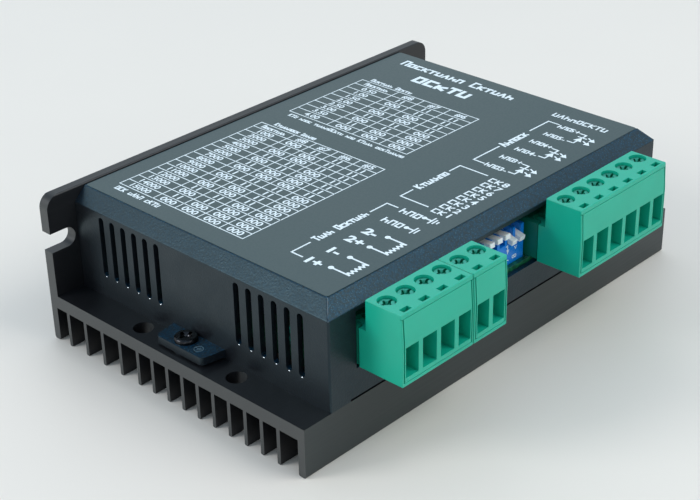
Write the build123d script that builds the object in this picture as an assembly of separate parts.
from build123d import *
import math
import os

# Digital stepper driver module: a finned aluminium heat sink that is base and back wall,
# a folded sheet cover screwed to it, a circuit board on standoffs, two pin headers with three
# pluggable screw terminals, and an eight-way piano switch. Everything below is in millimetres.
# Case coordinates: x from the left end, y from the front wall's face, z from the fin tips.

# Overall size
LENGTH = 118.0
DEPTH = 75.5
HEIGHT = 34.0
PLUG_REACH = 11.2                  # how far the plugs stand out in front of the wall

# Heat sink
BASE = (8.0, 11.0)                 # bottom and top of the base plate
FRONT_WALL = 1.8
FLANGE = 2.6
FLANGE_FOOT = 1.9                  # the flange is thinner below the base plate
FLANGE_CORNER = 3.0
FIN = 0.9
REAR_FIN = 69.9                    # the fin nearest the flange
REAR_FIN_PITCH, REAR_FINS = 5.6, 4
FRONT_FIN_PITCH, FRONT_FINS = 4.5, 10
SLOT_WIDTH, SLOT_DEPTH, SLOT_HEIGHT = 4.35, 6.3, 23.55
LEDGE_HOLE_RADIUS = 2.15
LEDGE_HOLE_INSET = 3.9
LEDGE_HOLES = (22.1, 49.7)

# Cover
COVER = (7.0, 111.0)
COVER_TOP = 33.6
COVER_BACK = DEPTH - FLANGE - 0.1
SHEET = 1.2
BEVEL = 2.85
BEND = 0.45                        # outside radius of the cover's folds
OPENING_X, OPENING_Z = (14.2, 104.0), (17.6, 29.9)
COVER_GAP = 0.45                   # slit under the front wall, between its two feet
VENT_WIDTH, VENT_PITCH, VENT_Z = 1.55, 3.43, (16.1, 29.8)
VENT_STARTS = (7.2, 47.4)
VENTS = 6
TAB_Y, TAB_Z, TAB_REACH = (29.5, 42.8), (11.45, 13.15), 5.4
TAB_CORNER = 1.0
TAB_FLARE = 1.0                    # each side of the tab is this much wider at the wall
TAB_BOSS_RADIUS = 2.7              # pressed boss under the tab, standing on the base plate
TAB_SCREW_INSET, TAB_SCREW_Y = 4.5, 37.1
FILM = 0.12

# Board
BOARD_X, BOARD_Y, BOARD_Z = (9.0, 109.0), (1.35, 71.0), (16.9, 18.5)
BOARD_TOP = BOARD_Z[1]
BOARD_SCREWS = [(x, y) for x in (12.6, 105.4) for y in (16.0, 66.0)]

# M3 screws
THREAD_RADIUS = 1.25
TAPPED_RADIUS = 1.3
CLEARANCE_RADIUS = 1.7
HEAD_RADIUS, HEAD_HEIGHT = 2.45, 1.7
LOW_HEAD_HEIGHT = 1.0

# Terminals: a pitch of 5.08 mm along the wall, six poles to a header
PITCH = 5.08
POLES = 6
POWER_POLE, SIGNAL_POLE = 16.9, 70.9           # x of each header's first pole
PLUG_PLAY = 0.2                                # a plug is this much under its poles' pitches
HEADER_WIDTH = 30.4
HEADER_Y, HEADER_Z = (-0.3, 9.2), (BOARD_TOP, 27.0)
HEADER_CHAMFER = 0.4
SOCKET_WIDTH, SOCKET_DEPTH, SOCKET_Z = 28.9, 6.3, (19.35, 26.15)
PIN, PIN_Z, PIN_TIP, PIN_LEG_Y = 1.0, 22.8, 0.2, 8.0
PLUG_TOP, PLUG_KINK, PLUG_BOTTOM = 33.06, 26.9, 17.9
PLUG_LEAN = 0.4                                # the front leans back this much above the kink
PLUG_BACK = -2.2                               # back of the upper half
PLUG_REAR, PLUG_STEP = -0.5, 26.5              # the lower half reaches further back, up to this height
PLUG_EDGE = 0.2                                # rounding of the housing's outer edges
NOSE_END, NOSE_Z, NOSE_INSET = 5.0, (19.5, 26.0), 0.85
SCREW_Y = -5.25
ENTRY_HALF, ENTRY_Z, ENTRY_DEPTH = 1.95, (19.7, 26.1), 3.3
ENTRY_MARGIN = 0.9                             # least wall beside an outermost wire entry
POCKET_HALF, POCKET_Y, POCKET_Z = 2.05, (-8.05, -2.45), (18.7, 28.5)
CAGE_HALF, CAGE_Y, CAGE_Z = 1.95, (-7.9, -2.6), (18.8, 25.4)
CAGE_WALL, CAGE_PLATE = 0.45, 0.8
WELL_RADIUS, WELL_FLOOR, NECK_RADIUS = 1.875, 30.9, 1.5
TERMINAL_HEAD_RADIUS, TERMINAL_HEAD = 1.75, (30.9, 32.6)
TERMINAL_TIP = 24.5
PROBE_HALF, PROBE_Y = (1.1, 0.62), -9.7
BAR_HALF, BAR_Z, BAR_FRONT = 1.1, (23.6, 24.4), -7.6
LEAF, LEAF_PLAY = 0.5, 0.05

# Piano switch
SWITCHES = 8
SWITCH_PITCH = 2.54
SWITCH_MIDDLE = 56.6
SWITCH_WIDTH = 21.6
SWITCH_Y, SWITCH_Z = (2.45, 10.2), (BOARD_TOP, 26.5)
LEVER_SLOT_FLOOR = 23.4
LEVER_PIVOT = (8.3, 25.7)
LEVER_WIDTH, LEVER_HEIGHT, LEVER_REACH = 1.6, 1.1, 7.4
LEVER_HUB, LEVER_BORE, AXLE = 0.8, 0.42, 0.37
LEVER_RAISED, LEVER_LOWERED = 5.0, 14.0        # degrees above and below level
LEVERS_UP = (1, 4, 5, 6)
SWITCH_FEET = (4.0, 8.8)

# Indicator lamps
LED_X, LED_RADIUS = 101.9, 1.5
LED_GREEN_Z, LED_RED_Z = 20.6, 24.7

# Parts on the board
MOSFETS, MOSFET_START, MOSFET_PITCH = 8, 21.6, 10.7
MOSFET_Y, MOSFET_HOLE_Y = (50.0, 65.8), 62.9
PAD_Z = (11.0, 11.3)
MOSFET_LEG_Y = 46.5
CAPACITORS = [(20.5, 29.0), (34.5, 29.0), (48.5, 29.0)]
CAPACITOR_RADIUS, CAPACITOR_HEIGHT = 6.25, 12.2

CASE = Location((-LENGTH / 2, PLUG_REACH - (DEPTH + PLUG_REACH) / 2, 0))


def block(x, y, z):
    """A box given by its low and high limit along each axis."""
    size = [high - low for low, high in (x, y, z)]
    middle = [(high + low) / 2 for low, high in (x, y, z)]
    return Pos(*middle) * Box(*size)


def around(centre, half):
    """The low and high limit of a stretch of two halves about its centre."""
    return centre - half, centre + half


def rod(x, y, z, radius):
    """An upright cylinder between two heights."""
    return Pos(x, y, (z[0] + z[1]) / 2) * Cylinder(radius, z[1] - z[0])


def across(x, y, z, radius):
    """A cylinder lying front to back between two depths."""
    return Pos(x, (y[0] + y[1]) / 2, z) * Rot(90, 0, 0) * Cylinder(radius, y[1] - y[0])


def fused(solids):
    """One solid from several that meet."""
    whole, *rest = solids
    return whole + rest


def save(node, *shapes):
    """Write one node, moved from case coordinates to the module's own frame."""
    solids = [CASE * solid for shape in shapes for solid in shape.solids()]
    export_step(solids[0] if len(solids) == 1 else Compound(solids), f"parts/{node}.step")


def both_ends(inset):
    """The same distance in from the left end and from the right end."""
    return inset, LENGTH - inset


# Fasteners

def cross_recess(radius, depth):
    """A cruciform driver recess below z = 0, wide at the top and pointed at its foot."""
    point = Pos(0, 0, -depth / 2) * Cone(0.25 * radius, 0.5 * radius, depth)
    blades = [Rot(0, 0, turn) * Box(1.25 * radius, 0.3 * radius, 1.3 * depth) for turn in (0, 90)]
    return fused([point, *blades])


def pan_screw(seat, length, height=HEAD_HEIGHT):
    """An M3 pan-head screw standing on z = seat, its thread reaching length below."""
    head = Pos(0, 0, seat + height / 2) * Cylinder(HEAD_RADIUS, height)
    head = fillet(head.edges().group_by(Axis.Z)[-1], 0.53 * height)
    head -= Pos(0, 0, seat + height) * cross_recess(HEAD_RADIUS, 0.65 * height)
    return head + rod(0, 0, (seat - length, seat + 0.2), THREAD_RADIUS)


# Heat sink

def fin_positions():
    """Middles of the fins, wide pitch near the flange and close pitch under the board."""
    rear = [REAR_FIN - REAR_FIN_PITCH * n for n in range(REAR_FINS + 1)]
    front = [rear[-1] - FRONT_FIN_PITCH * n for n in range(1, FRONT_FINS)]
    return rear + front


def profile_bar(y, z, radius):
    """A bar of the extruded profile along the whole length, with rounded edges."""
    middle = Location((LENGTH / 2, sum(y) / 2, sum(z) / 2))
    face = Plane.YZ * RectangleRounded(y[1] - y[0], z[1] - z[0], radius)
    return middle * extrude(face, LENGTH / 2, both=True)


def heat_sink():
    """Finned base plate with the upright mounting flange along its back."""
    base = block((0, LENGTH), (0, DEPTH - 0.5), BASE)
    foot = BASE[1] - 0.5
    bars = [profile_bar((0, FRONT_WALL), (0, foot), 0.45)]
    bars += [profile_bar(around(y, FIN / 2), (0, foot), 0.25) for y in fin_positions()]
    bars.append(profile_bar((DEPTH - FLANGE_FOOT, DEPTH), (0, foot), 0.6))
    bars.append(profile_bar((DEPTH - FLANGE, DEPTH), (BASE[0], HEIGHT), 0.35))
    body = base + bars

    flange_y = (DEPTH - FLANGE - 1, DEPTH + 1)
    for end, centre in ((-1, FLANGE_CORNER), (LENGTH + 1, LENGTH - FLANGE_CORNER)):
        square = block(sorted((end, centre)), flange_y, (HEIGHT - FLANGE_CORNER, HEIGHT + 1))
        body -= square - across(centre, flange_y, HEIGHT - FLANGE_CORNER, FLANGE_CORNER)

    slot_centre = SLOT_DEPTH - SLOT_WIDTH / 2
    for end, centre in ((-1, slot_centre), (LENGTH + 1, LENGTH - slot_centre)):
        mouth = block(sorted((end, centre)), flange_y, around(SLOT_HEIGHT, SLOT_WIDTH / 2))
        body -= [mouth, across(centre, flange_y, SLOT_HEIGHT, SLOT_WIDTH / 2)]

    ledge = [(x, y) for x in both_ends(LEDGE_HOLE_INSET) for y in LEDGE_HOLES]
    through = [rod(x, y, (-1, BASE[1] + 1), LEDGE_HOLE_RADIUS) for x, y in ledge]
    tapped = [(x, TAB_SCREW_Y) for x in both_ends(TAB_SCREW_INSET)] + BOARD_SCREWS
    tapped += [(x, MOSFET_HOLE_Y) for x in mosfet_positions()]
    holes = [rod(x, y, (BASE[0] + 0.3, BASE[1] + 1), TAPPED_RADIUS) for x, y in tapped]
    return body - through - holes


# Cover

def bevelled_shell(inset, top, bevel, back, bottom):
    """A solid block of the cover's outline, with its three top edges bevelled."""
    shell = block((COVER[0] + inset, COVER[1] - inset), (inset, back), (bottom, top))
    upper = shell.faces().sort_by(Axis.Z)[-1].edges()
    return chamfer(upper.sort_by(Axis.Y)[:-1], bevel)


def vent(x, y):
    """One upright round-ended slot through an end wall."""
    height = VENT_Z[1] - VENT_Z[0]
    face = Plane.YZ * SlotOverall(height, VENT_WIDTH, rotation=90)
    return Location((x, y, sum(VENT_Z) / 2)) * extrude(face, 3, both=True)


def screw_tab(left):
    """The tongue folded out of an end wall, with its screw hole."""
    wall = COVER[0] if left else COVER[1]
    outward = -1 if left else 1
    reach = sorted((wall - outward * SHEET, wall + outward * TAB_REACH))
    near, far = TAB_Y[0] - TAB_FLARE, TAB_Y[1] + TAB_FLARE
    root, tip = wall - outward * SHEET, wall + outward * TAB_REACH
    flank, end = [(root, near), (wall, near), (tip, TAB_Y[0])], [(tip, TAB_Y[1]), (wall, far), (root, far)]
    plan = make_face(Polyline(*flank, *end, close=True))
    tongue = Pos(0, 0, TAB_Z[0]) * extrude(plan, TAB_Z[1] - TAB_Z[0])
    outer = tongue.edges().filter_by(Axis.Z).group_by(Axis.X)[0 if left else -1]
    tongue = fillet(outer, TAB_CORNER)
    screw_x = TAB_SCREW_INSET if left else LENGTH - TAB_SCREW_INSET
    boss = rod(screw_x, TAB_SCREW_Y, (BASE[1], TAB_Z[0] + 0.2), TAB_BOSS_RADIUS)
    boss = boss & block(reach, TAB_Y, (0, 20))
    return tongue + boss - rod(screw_x, TAB_SCREW_Y, (0, 20), CLEARANCE_RADIUS)


def top_cover():
    """Folded sheet: top, three bevels, front wall and two vented end walls."""
    outer = bevelled_shell(0, COVER_TOP, BEVEL, COVER_BACK, BASE[1])
    folds = outer.edges().filter_by(lambda edge: edge.center().Z > BASE[1] + 1)
    folds = folds.filter_by(lambda edge: edge.center().Y < COVER_BACK - 0.01)
    outer = fillet(folds, BEND)
    inner_bevel = BEVEL - SHEET * (2 - math.sqrt(2))
    inner = bevelled_shell(SHEET, COVER_TOP - SHEET, inner_bevel, COVER_BACK + 5, BASE[1] - 5)
    sheet = outer - inner
    sheet -= block(OPENING_X, (-1, SHEET + 1), OPENING_Z)
    sheet -= block((COVER[0] + 5.5, COVER[1] - 5.5), (-1, SHEET + 1), (BASE[1] - 1, BASE[1] + COVER_GAP))
    rows = [start + VENT_PITCH * n for start in VENT_STARTS for n in range(VENTS)]
    sheet -= [vent(x, y) for x in COVER for y in rows]
    return sheet + [screw_tab(True), screw_tab(False)]


def label_film():
    """Printed plastic film stuck on the cover's flat top."""
    inset = BEVEL + 0.15
    film = block((COVER[0] + inset, COVER[1] - inset), (inset, COVER_BACK - 0.3), (0, FILM))
    return Pos(0, 0, COVER_TOP) * fillet(film.edges().filter_by(Axis.Z), 0.6)


# Board and what stands on it

def pole_positions(first):
    return [first + PITCH * n for n in range(POLES)]


def mosfet_positions():
    return [MOSFET_START + MOSFET_PITCH * n for n in range(MOSFETS)]


def switch_positions():
    return [SWITCH_MIDDLE + SWITCH_PITCH * (n - (SWITCHES + 1) / 2) for n in range(1, SWITCHES + 1)]


def board_holes():
    """Every plated hole's middle and its half width."""
    pins = [(x, PIN_LEG_Y, 0.62) for first in (POWER_POLE, SIGNAL_POLE) for x in pole_positions(first)]
    legs = [(x + dx, MOSFET_LEG_Y, 0.5) for x in mosfet_positions() for dx in (-2.54, 0, 2.54)]
    feet = [(x, y, 0.4) for x in switch_positions() for y in SWITCH_FEET]
    lamps = [(LED_X + dx, y, 0.4) for dx in (-1.27, 1.27) for y in (7.5, 9.5)]
    return pins + legs + feet + lamps


def circuit_board():
    """The glass-fibre board, with its plated holes and four screw holes."""
    board = block(BOARD_X, BOARD_Y, BOARD_Z)
    board = fillet(board.edges().filter_by(Axis.Z), 1.0)
    through = (BOARD_Z[0] - 1, BOARD_Z[1] + 1)
    plated = [block(around(x, half), around(y, half), through) for x, y, half in board_holes()]
    screws = [rod(x, y, through, CLEARANCE_RADIUS) for x, y in BOARD_SCREWS]
    return board - plated - screws


def standoff(x, y):
    """Hexagonal spacer with a stud below and a tapped bore above."""
    height = BOARD_Z[0] - BASE[1]
    spacer = extrude(RegularPolygon(3.0, 6), height)
    spacer -= rod(0, 0, (height - 4.5, height + 1), TAPPED_RADIUS)
    return Pos(x, y, BASE[1]) * (spacer + rod(0, 0, (-2.2, 0.5), THREAD_RADIUS))


def mosfet(x):
    """A tabbed power transistor lying on the base plate, legs bent up to the board."""
    tab = block(around(x, 5.0), MOSFET_Y, (PAD_Z[1], 12.6)) - rod(x, MOSFET_HOLE_Y, (10, 14), 1.8)
    mould = block(around(x, 4.95), (MOSFET_Y[0], 59.2), (PAD_Z[1] + 0.3, 15.7))
    pieces = [tab, chamfer(mould.faces().sort_by(Axis.Z)[-1].edges(), 0.5)]
    for dx in (-2.54, 0, 2.54):
        leg = around(x + dx, 0.4)
        pieces.append(block(leg, (MOSFET_LEG_Y - 0.25, MOSFET_Y[0] + 0.5), (13.6, 14.1)))
        pieces.append(block(leg, around(MOSFET_LEG_Y, 0.25), (13.6, BOARD_TOP + 0.8)))
    return fused(pieces)


def thermal_pad():
    """Soft insulating sheet between the transistors and the base plate."""
    first, *_, last = mosfet_positions()
    pad = block((first - 5.3, last + 5.3), (MOSFET_Y[0] - 0.4, MOSFET_Y[1] + 0.4), PAD_Z)
    return pad - [rod(x, MOSFET_HOLE_Y, (10, 12), 1.8) for x in mosfet_positions()]


def capacitor(x, y):
    """Upright electrolytic can with a beaded groove and a scored top."""
    top = BOARD_TOP + CAPACITOR_HEIGHT
    can = rod(x, y, (BOARD_TOP, top), CAPACITOR_RADIUS)
    can = fillet(can.edges(), 0.6)
    bead = Pos(x, y, BOARD_TOP + 1.9) * Torus(CAPACITOR_RADIUS + 0.25, 0.6)
    score = [Pos(x, y, top) * Rot(0, 0, turn) * Box(7.5, 0.3, 0.4) for turn in (0, 60, 120)]
    return can - bead - score


def leaded_chip(x, y, width, depth, height, per_side, pitch, sides):
    """A moulded package on gull-wing leads, along two sides or all four."""
    body = block(around(x, width / 2), around(y, depth / 2), (BOARD_TOP + 0.12, BOARD_TOP + height))
    body = chamfer(body.faces().sort_by(Axis.Z)[-1].edges(), 0.2)
    body -= Pos(x - width / 2 + 0.9, y - depth / 2 + 0.9, BOARD_TOP + height) * Cylinder(0.4, 0.1)
    leads = []
    for turn in range(0, 360, 360 // sides):
        reach = (depth if turn in (0, 180) else width) / 2
        for n in range(per_side):
            foot = around(pitch * (n - (per_side - 1) / 2), pitch / 4)
            lead = block(foot, (reach - 0.3, reach + 0.5), around(height / 2, 0.1))
            lead += block(foot, (reach + 0.3, reach + 0.5), (0, height / 2))
            lead += block(foot, (reach + 0.3, reach + 1.0), (0, 0.2))
            leads.append(Pos(x, y, BOARD_TOP) * Rot(0, 0, turn) * lead)
    return body + leads


def chip_resistor(x, y):
    """A wide current-sense resistor with its two end caps in one solid."""
    return block(around(x, 3.2), around(y, 1.6), (BOARD_TOP, BOARD_TOP + 0.8))


def buck_inductor(x, y):
    """Shielded power inductor: square body, round ferrite top."""
    body = block(around(x, 6.0), around(y, 6.0), (BOARD_TOP, BOARD_TOP + 5.0))
    body = chamfer(body.edges().filter_by(Axis.Z), 1.6)
    well = rod(x, y, (BOARD_TOP + 4.4, BOARD_TOP + 6), 4.6)
    return body - well + rod(x, y, (BOARD_TOP + 4, BOARD_TOP + 5.4), 4.3)


def lamp(z, leg_y):
    """A 3 mm round-nosed lamp lying towards the front, legs bent down to the board."""
    collar = across(LED_X, (5.3, 6.1), z, LED_RADIUS + 0.3)
    barrel = across(LED_X, (2.3, 5.7), z, LED_RADIUS)
    pieces = [collar, barrel, Pos(LED_X, 2.3, z) * Sphere(LED_RADIUS)]
    for dx in (-1.27, 1.27):
        pieces.append(block(around(LED_X + dx, 0.25), (5.8, leg_y + 0.25), around(z, 0.25)))
        pieces.append(block(around(LED_X + dx, 0.25), around(leg_y, 0.25), (BOARD_Z[0] - 1, z + 0.25)))
    return fused(pieces)


# Headers and plugs

def header_pin(x):
    """A square pin from the socket back and down through the board."""
    level = block(around(x, PIN / 2), (PIN_TIP, PIN_LEG_Y + PIN / 2), around(PIN_Z, PIN / 2))
    level = chamfer(level.faces().sort_by(Axis.Y)[0].edges(), 0.25)
    leg = block(around(x, PIN / 2), around(PIN_LEG_Y, PIN / 2), (BOARD_Z[0] - 1.8, PIN_Z))
    return level + leg


def header(first):
    """Moulded socket for six poles: open to the front, ribbed roof, pins through its back wall."""
    middle = first + PITCH * (POLES - 1) / 2
    shell = block(around(middle, HEADER_WIDTH / 2), HEADER_Y, HEADER_Z)
    upper = shell.faces().sort_by(Axis.Z)[-1].edges().filter_by(Axis.Y)
    shell = chamfer(upper, HEADER_CHAMFER)
    mouth = HEADER_Y[0]
    shell -= block(around(middle, SOCKET_WIDTH / 2), (mouth - 1, mouth + SOCKET_DEPTH), SOCKET_Z)
    half = PIN / 2 + 0.02
    for x in pole_positions(first):
        notch = block(around(x, 1.3), (mouth - 1, mouth + 2.4), (SOCKET_Z[1] - 1, HEADER_Z[1] + 1))
        level = block(around(x, half), (mouth, PIN_LEG_Y + half), around(PIN_Z, half))
        leg = block(around(x, half), around(PIN_LEG_Y, half), (BOARD_TOP - 1, PIN_Z))
        shell -= [notch, level, leg]
    return shell


def plug_profile():
    """Side view of a plug: leaning front, flat foot, and a back stepped at half height."""
    front = -PLUG_REACH
    outline = Polyline(
        (front + PLUG_LEAN, PLUG_TOP),
        (front, PLUG_KINK),
        (front, PLUG_BOTTOM),
        (PLUG_REAR, PLUG_BOTTOM),
        (PLUG_REAR, PLUG_STEP),
        (PLUG_BACK, PLUG_STEP),
        (PLUG_BACK, PLUG_TOP),
        close=True,
    )
    return Plane.YZ * make_face(outline)


def pole_hollow(x, side_walls):
    """What one pole takes out of its housing: wire entry, clamp pocket, screw well, contact way."""
    entry_x = (max(x - ENTRY_HALF, side_walls[0]), min(x + ENTRY_HALF, side_walls[1]))
    entry = block(entry_x, (-PLUG_REACH - 1, -PLUG_REACH + ENTRY_DEPTH), ENTRY_Z)
    pocket = block(around(x, POCKET_HALF), POCKET_Y, POCKET_Z)
    neck = rod(x, SCREW_Y, (POCKET_Z[1] - 0.5, WELL_FLOOR + 0.5), NECK_RADIUS)
    well = rod(x, SCREW_Y, (WELL_FLOOR, PLUG_TOP + 1), WELL_RADIUS)
    half_x, half_y = PROBE_HALF
    probe = block(around(x, half_x), around(PROBE_Y, half_y), (ENTRY_Z[1] - 0.5, PLUG_TOP + 1))
    way_floor = PIN_Z - PIN / 2 - LEAF_PLAY - LEAF - 0.1
    way_y = (POCKET_Y[1] - 0.5, NOSE_END + 1)
    way = block(around(x, BAR_HALF + 0.15), way_y, (way_floor, BAR_Z[1] + 0.15))
    return [entry, pocket, neck, well, probe, way]


def plug_housing(poles):
    """Moulded housing of a pluggable terminal: stepped body, nose for the header, inset front panel."""
    low, high = poles[0] - (PITCH - PLUG_PLAY) / 2, poles[-1] + (PITCH - PLUG_PLAY) / 2
    body = Pos(low, 0, 0) * extrude(plug_profile(), high - low)
    body = fillet(body.edges().filter_by(lambda edge: edge.center().Y < PLUG_BACK - 0.1), PLUG_EDGE)
    body += block((low + NOSE_INSET, high - NOSE_INSET), (PLUG_REAR - 0.5, NOSE_END), NOSE_Z)
    front = -PLUG_REACH
    for x in (low + 0.5, high - 0.5):
        body -= block(around(x, 0.15), (front - 1, front + 0.9), (PLUG_BOTTOM + 0.8, PLUG_TOP - 0.9))
    lip_groove = (front - 1, front + PLUG_LEAN + 0.3)
    body -= block((low + 0.5, high - 0.5), (front - 1, front + 0.3), around(PLUG_BOTTOM + 0.85, 0.06))
    body -= block((low - 1, high + 1), lip_groove, around(PLUG_TOP - 0.95, 0.06))
    for x in poles:
        body -= pole_hollow(x, (low + ENTRY_MARGIN, high - ENTRY_MARGIN))
    return body


def plug_contact(x):
    """Clamp bar and the spring leaves that grip the header's pin."""
    bar = block(around(x, BAR_HALF), (BAR_FRONT, -0.6), BAR_Z)
    upper = PIN_Z + PIN / 2 + LEAF_PLAY
    lower = PIN_Z - PIN / 2 - LEAF_PLAY
    top_leaf = block(around(x, BAR_HALF), (-1.2, NOSE_END - 0.8), (upper, upper + LEAF))
    bottom_leaf = block(around(x, BAR_HALF), (-1.2, NOSE_END - 0.8), (lower - LEAF, lower))
    web = block(around(x, BAR_HALF), (-1.2, -0.6), (lower - LEAF, BAR_Z[1]))
    return fused([bar, top_leaf, bottom_leaf, web])


def terminal_screw(x):
    """Captive clamp screw: cross-slotted head in its well, thread down through the cage's roof."""
    low, high = TERMINAL_HEAD
    head = rod(0, 0, (low, high), TERMINAL_HEAD_RADIUS)
    head = fillet(head.edges().group_by(Axis.Z)[-1], 0.4)
    head -= Pos(0, 0, high) * Box(4, 0.55, 1.5)
    head -= Pos(0, 0, high) * cross_recess(1.6, 1.0)
    return Pos(x, SCREW_Y, 0) * (head + rod(0, 0, (TERMINAL_TIP, low + 0.3), THREAD_RADIUS))


def wire_clamp(x):
    """Rising steel cage, open front to back, hung on the screw by its threaded roof."""
    cage = block(around(x, CAGE_HALF), CAGE_Y, CAGE_Z)
    window = (CAGE_Z[0] + CAGE_PLATE, CAGE_Z[1] - CAGE_PLATE)
    cage -= block(around(x, CAGE_HALF - CAGE_WALL), (CAGE_Y[0] - 1, CAGE_Y[1] + 1), window)
    return cage - rod(x, SCREW_Y, (CAGE_Z[1] - 1, CAGE_Z[1] + 1), TAPPED_RADIUS + 0.05)


# Piano switch

def switch_body():
    """Blue switch case with an open-topped slot for each lever and one axle through them all."""
    case = block(around(SWITCH_MIDDLE, SWITCH_WIDTH / 2), SWITCH_Y, SWITCH_Z)
    pivot_y, pivot_z = LEVER_PIVOT
    for x in switch_positions():
        slot_y = (SWITCH_Y[0] - 1, pivot_y + LEVER_HUB + 0.15)
        slot = block(around(x, LEVER_WIDTH / 2 + 0.1), slot_y, (LEVER_SLOT_FLOOR, SWITCH_Z[1] + 1))
        case -= slot
        for y in SWITCH_FEET:
            case -= rod(x, y, (SWITCH_Z[0] - 1, SWITCH_Z[0] + 2.5), 0.4)
    axle = Rot(0, 90, 0) * Cylinder(AXLE, SWITCH_WIDTH - 0.6)
    return case + Pos(SWITCH_MIDDLE, pivot_y, pivot_z) * axle


def switch_contact(x, y):
    """One solder pin of the switch, from inside its case down through the board."""
    return rod(x, y, (BOARD_Z[0] - 1.2, SWITCH_Z[0] + 2.3), 0.3)


def dip_lever(number, x):
    """A white lever on the axle, raised or lowered at rest."""
    pivot_y, pivot_z = LEVER_PIVOT
    arm = block(around(0, LEVER_WIDTH / 2), (-LEVER_REACH, 0), around(0, LEVER_HEIGHT / 2))
    arm = chamfer(arm.faces().sort_by(Axis.Y)[0].edges(), 0.15)
    hub = Rot(0, 90, 0) * Cylinder(LEVER_HUB, LEVER_WIDTH)
    bore = Rot(0, 90, 0) * Cylinder(LEVER_BORE, LEVER_WIDTH + 1)
    tilt = -LEVER_RAISED if number in LEVERS_UP else LEVER_LOWERED
    return Pos(x, pivot_y, pivot_z) * Rot(tilt, 0, 0) * (arm + hub - bore)


os.makedirs("parts", exist_ok=True)

save("heat_sink", heat_sink())
save("top_cover", top_cover())
save("label_film", label_film())
cover_screw = pan_screw(TAB_Z[1], 4.2, LOW_HEAD_HEIGHT)
save("cover_screws", *[Pos(x, TAB_SCREW_Y, 0) * cover_screw for x in both_ends(TAB_SCREW_INSET)])

save("circuit_board", circuit_board())
save("board_standoffs", *[standoff(x, y) for x, y in BOARD_SCREWS])
board_screws = [Pos(x, y, 0) * pan_screw(BOARD_TOP, 5.0) for x, y in BOARD_SCREWS]
mosfet_screws = [Pos(x, MOSFET_HOLE_Y, 0) * pan_screw(12.6, 3.9) for x in mosfet_positions()]
save("inner_screws", *board_screws, *mosfet_screws)
save("thermal_pad", thermal_pad())
save("power_mosfets", *[mosfet(x) for x in mosfet_positions()])
save("bus_capacitors", *[capacitor(x, y) for x, y in CAPACITORS])
save("controller_chip", leaded_chip(84, 40, 10, 10, 1.5, 12, 0.65, 4))
save("gate_drivers", *[leaded_chip(26 + 20 * n, 54, 9.9, 4, 1.6, 8, 1.27, 2) for n in range(4)])
save("optocouplers", *[leaded_chip(73.5 + 10 * n, 20, 6, 4.4, 2.2, 4, 1.27, 2) for n in range(3)])
save("sense_resistors", *[chip_resistor(26 + 20 * n, 62) for n in range(4)])
save("buck_inductor", buck_inductor(64, 32))

for name, first_pole in (("power", POWER_POLE), ("signal", SIGNAL_POLE)):
    save(f"{name}_header", header(first_pole))
header_poles = pole_positions(POWER_POLE) + pole_positions(SIGNAL_POLE)
save("header_pins", *[header_pin(x) for x in header_poles])

save("dip_switch_body", switch_body())
save("dip_switch_contacts", *[switch_contact(x, y) for x in switch_positions() for y in SWITCH_FEET])
for number, lever_x in enumerate(switch_positions(), start=1):
    save(f"dip_lever_{number}", dip_lever(number, lever_x))

save("status_led_green", lamp(LED_GREEN_Z, 7.5))
save("status_led_red", lamp(LED_RED_Z, 9.5))

power_poles = pole_positions(POWER_POLE)
plugs = {
    "motor": power_poles[:4],
    "supply": power_poles[4:],
    "signal": pole_positions(SIGNAL_POLE),
}
for name, poles in plugs.items():
    save(f"{name}_plug_housing", plug_housing(poles))
    save(f"{name}_plug_contacts", *[plug_contact(x) for x in poles])
    for number, pole in enumerate(poles, start=1):
        save(f"{name}_screw_{number}", terminal_screw(pole))
        save(f"{name}_wire_clamp_{number}", wire_clamp(pole))
